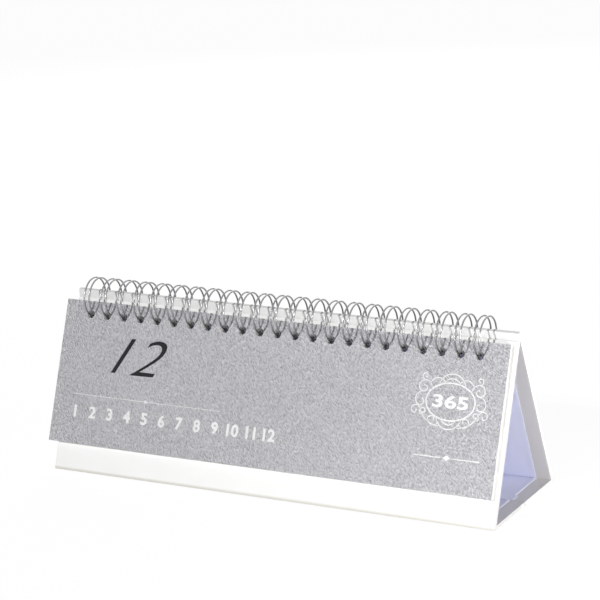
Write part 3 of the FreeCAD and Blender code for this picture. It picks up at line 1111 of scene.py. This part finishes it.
@dataclass
class Studio:
    """Camera, lamps, floor and surroundings."""

    azimuth: float = 29.09
    elevation: float = 15.85
    roll: float = -2.96
    distance: float = 1574.89
    target: Place = (0.0, 0.0, 45.0)
    side_offset: float = 3.08
    up_offset: float = 69.38
    focal_pixels: float = 2465.36
    frame_pixels: float = 600.0
    sensor: float = 36.0
    surround: float = 0.09
    key_azimuth: float = -25.0
    key_elevation: float = 28.0
    key_strength: float = 1.95
    key_angle: float = 1.2
    fills: tuple[Lamp, ...] = (
        Lamp("front_fill", (0.2, -0.6, 0.22), (0.08, 0.0, 0.05), 0.16, 0.35),
        Lamp("side_fill", (0.5, -0.3, 0.04), (0.13, 0.02, 0.05), 0.12, 1.22),
        Lamp("end_fill", (0.36, 0.02, 0.1), (0.13, 0.0, 0.02), 0.06, 0.28),
        Lamp("back_fill", (-0.5, 1.1, 0.7), (0.0, 0.03, 0.06), 1.2, 5.0),
    )
    floor_half: float = 6.0
    floor_white: float = 0.93
    floor_glow: float = 1.06
    floor_lift: float = 0.88

    @staticmethod
    def direction(azimuth: float, elevation: float) -> Vector:
        """Unit vector from the object towards a place seen at an azimuth and elevation."""
        a, e = math.radians(azimuth), math.radians(elevation)
        return Vector((math.sin(a) * math.cos(e), -math.cos(a) * math.cos(e), math.sin(e)))

    def camera(self) -> None:
        """Make the camera at the photograph's viewpoint."""
        back = self.direction(self.azimuth, self.elevation)
        level = Vector((math.cos(math.radians(self.azimuth)), math.sin(math.radians(self.azimuth)), 0.0))
        upright = back.cross(level)
        turn = math.radians(self.roll)
        right = level * math.cos(turn) + upright * math.sin(turn)
        up = upright * math.cos(turn) - level * math.sin(turn)
        place = Vector(self.target) + back * self.distance + right * self.side_offset + up * self.up_offset
        data = bpy.data.cameras.new("camera")
        data.sensor_width = self.sensor
        data.lens = self.focal_pixels / self.frame_pixels * self.sensor
        data.clip_start = 0.05
        data.clip_end = 50.0
        camera = bpy.data.objects.new("camera", data)
        axes = Matrix((right, up, back)).transposed().to_4x4()
        camera.matrix_world = Matrix.Translation(place * MM) @ axes
        bpy.context.scene.collection.objects.link(camera)
        bpy.context.scene.camera = camera

    def key(self) -> None:
        """Make the far key lamp."""
        data = bpy.data.lights.new("key", "SUN")
        data.energy = self.key_strength
        data.angle = math.radians(self.key_angle)
        lamp = bpy.data.objects.new("key", data)
        lamp.rotation_mode = "QUATERNION"
        way = self.direction(self.key_azimuth, self.key_elevation)
        lamp.rotation_quaternion = way.to_track_quat("Z", "Y")
        bpy.context.scene.collection.objects.link(lamp)

    @staticmethod
    def seen(graph: Graph) -> Signal:
        """1 for rays from the camera, in a reflection or through glass, and 0 for the light on the object."""
        path = graph.add("ShaderNodeLightPath")
        kinds = ("Is Camera Ray", "Is Glossy Ray", "Is Transmission Ray")
        camera, glossy, through = (Signal(graph, path.outputs[kind]) for kind in kinds)
        return graph.clamp(camera + glossy + through)

    def world(self) -> None:
        """Light the scene evenly, and show white where the camera or a reflection sees past the floor."""
        world = bpy.data.worlds.new("surroundings")
        bpy.context.scene.world = world
        world.use_nodes = True
        graph = Graph(world.node_tree)
        level = self.surround + self.seen(graph) * (1.0 - self.surround)
        back = graph.add("ShaderNodeBackground", None, {"Color": (1.0, 1.0, 1.0, 1.0), "Strength": level})
        graph.add("ShaderNodeOutputWorld", None, {"Surface": back.outputs[0]})

    def floor(self) -> None:
        """Make the white floor: part of what the camera sees of it is plain white, the rest takes shadows."""
        points = np.array([[-1.0, -1.0, 0.0], [1.0, -1.0, 0.0], [1.0, 1.0, 0.0], [-1.0, 1.0, 0.0]])
        material = bpy.data.materials.new("white_floor")
        material.use_nodes = True
        graph = Graph(material.node_tree)
        white = (self.floor_white, self.floor_white, self.floor_white, 1.0)
        matte = graph.add("ShaderNodeBsdfDiffuse", None, {"Color": white})
        plain = {"Color": (1.0, 1.0, 1.0, 1.0), "Strength": self.floor_glow}
        glow = graph.add("ShaderNodeEmission", None, plain)
        share = self.seen(graph) * self.floor_lift
        mixed = graph.add("ShaderNodeMixShader", None, {0: share, 1: matte.outputs[0], 2: glow.outputs[0]})
        graph.add("ShaderNodeOutputMaterial", None, {"Surface": mixed.outputs[0]})
        sheet = points * self.floor_half
        floor = make_piece("floor", sheet, np.array([[0, 1, 2, 3]]), material, smooth=False)

    def build(self) -> None:
        """Set the whole studio up."""
        bpy.context.scene.view_settings.view_transform = "Standard"
        self.camera()
        self.world()
        self.key()
        for fill in self.fills:
            fill.build()
        self.floor()


def main() -> None:
    """Build the looks round the frame."""
    logging.basicConfig(level=logging.INFO, format="%(name)s: %(message)s")
    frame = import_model()
    slope = Slope()
    pad = Pad()
    card = EmbossedCard(slope.lean)
    leaf_paper = Paper("leaf_paper", (0.94, 0.93, 0.9), (0.88, 0.865, 0.83), 0.6, wave_depth=0.0001)
    # Painted shade on the wrap: grey on the turned-in strips inside the tent and on the front board's end
    # faces, and a warm grey band along the foot of the front and rear faces.
    wrap_painted_shade = TurnIn(slope, (0.69, 0.672, 0.662)), Fade(1, 44.8, 45.4, (0.6, 0.58, 0.53))
    wrap_paper = Paper("wrap_paper", (0.86, 0.86, 0.855), (0.8, 0.8, 0.79), 0.4, overlays=wrap_painted_shade)
    # Painted shade: the lining goes nearly black towards the ridge.
    painted_ridge_shade = Fade(2, 86.0, 93.0, (0.06, 0.062, 0.058))
    lining_paper = Paper("lining_paper", (0.82, 0.83, 0.99), (0.79, 0.805, 0.97), 0.7, overlays=(painted_ridge_shade,))
    stand = Stand(frame["nodes"])
    stand.build(Greyboard().build(), wrap_paper.build(), lining_paper.build())
    stand.dress("cover_leaf", card.build())
    LeafStack(slope, pad).build(leaf_paper.build())
    white = card.build_ink("white_ink", (0.97, 0.97, 0.97), 0.5)
    black = card.build_ink("black_ink", (0.008, 0.008, 0.01), 0.7)
    CoverPrint(slope, pad).build(white, black)
    dark_ink = PageInk("page_dark_ink", (0.09, 0.09, 0.1), (0.2, 0.2, 0.21)).build()
    red_ink = PageInk("page_red_ink", (0.3, 0.02, 0.03), (0.42, 0.08, 0.09)).build()
    PagePrint(slope, pad).build(dark_ink, red_ink)
    TwinLoopBinding(slope, pad).build(WireMetal().build())
    Studio().build()


if __name__ == "__main__":
    main()
